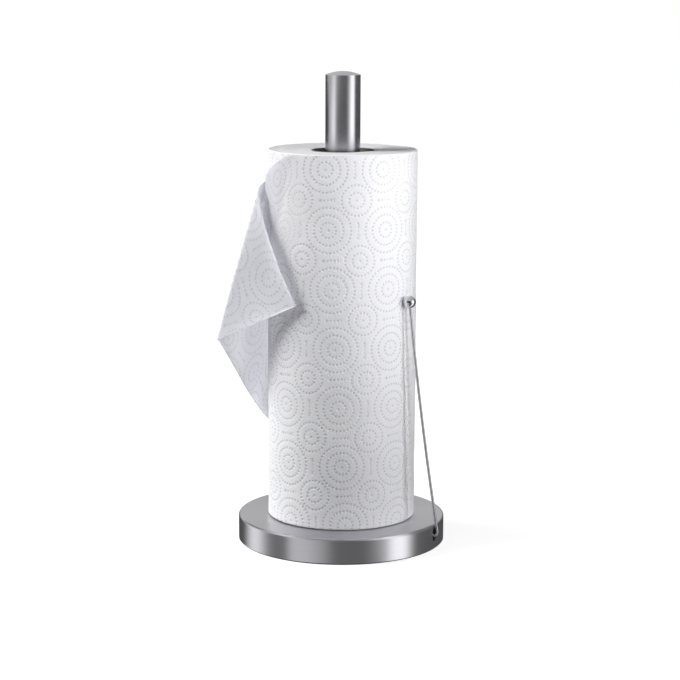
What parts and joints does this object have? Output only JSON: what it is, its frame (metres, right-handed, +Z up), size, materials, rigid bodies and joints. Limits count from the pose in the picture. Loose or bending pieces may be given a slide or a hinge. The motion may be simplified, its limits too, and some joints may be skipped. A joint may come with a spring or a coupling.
{
  "type": "paper towel holder",
  "caption": "Free-standing paper towel holder: weighted round steel base, tube post, and a sprung wire arm with a ball that rests on the roll; carries a paper roll with a loose end.",
  "frame": {"origin": "centre of the base's underside, on the post's axis, at the table's surface", "axes": "+Z up along the post; -Y is the front of the holder; the sprung arm stands at the front right and swings in a plane parallel to X and Z"},
  "size_m": [0.1648, 0.15, 0.34],
  "materials": {
    "pad_foam": "matte",
    "cast_weight": "matte",
    "base_steel": "satin",
    "liner_plastic": "satin",
    "post_steel": "satin",
    "plug_steel": "satin",
    "cap_steel": "satin",
    "zinc_steel": "satin",
    "bracket_steel": "satin",
    "pin_steel": "polished",
    "clip_steel": "satin",
    "spring_steel": "satin",
    "hub_steel": "satin",
    "wire_steel": "polished",
    "ball_chrome": "polished",
    "core_board": "matte",
    "roll_paper": "matte",
    "sheet_paper": "matte"
  },
  "bodies": {
    "stand": {"base_pad": "pad_foam", "base_weight": "cast_weight", "base_cover": "base_steel", "slot_liner": "liner_plastic", "post_tube": "post_steel", "post_plug": "plug_steel", "post_cap": "cap_steel", "post_screw": "zinc_steel", "post_washer": "zinc_steel", "arm_bracket": "bracket_steel", "bracket_screws": "zinc_steel", "hinge_pin": "pin_steel", "pin_clip": "clip_steel", "arm_spring": "spring_steel"},
    "arm": {"arm_hub": "hub_steel", "arm_wire": "wire_steel", "arm_ball": "ball_chrome"},
    "core": {"roll_core": "core_board"},
    "paper": {"paper_roll": "roll_paper", "loose_sheet": "sheet_paper"}
  },
  "joints": [
    {"name": "arm_swing", "type": "hinge", "parent": "stand", "child": "arm", "pos_m": [0.0578, -0.0339, 0.0105], "axis": [0, 1, 0], "range_deg": [0, 15], "stiffness_Nm_per_rad": 2.6, "springref_deg": -13.01, "deforming": ["arm_spring"]},
    {"name": "roll_lift", "type": "slide", "parent": "stand", "child": "core", "axis": [0, 0, 1], "range_m": [0, 0.33]},
    {"name": "roll_spin", "type": "hinge", "parent": "core", "child": "paper", "pos_m": [0, 0, 0.1522], "axis": [0, 0, -1], "continuous": true, "deforming": ["loose_sheet"]}
  ]
}
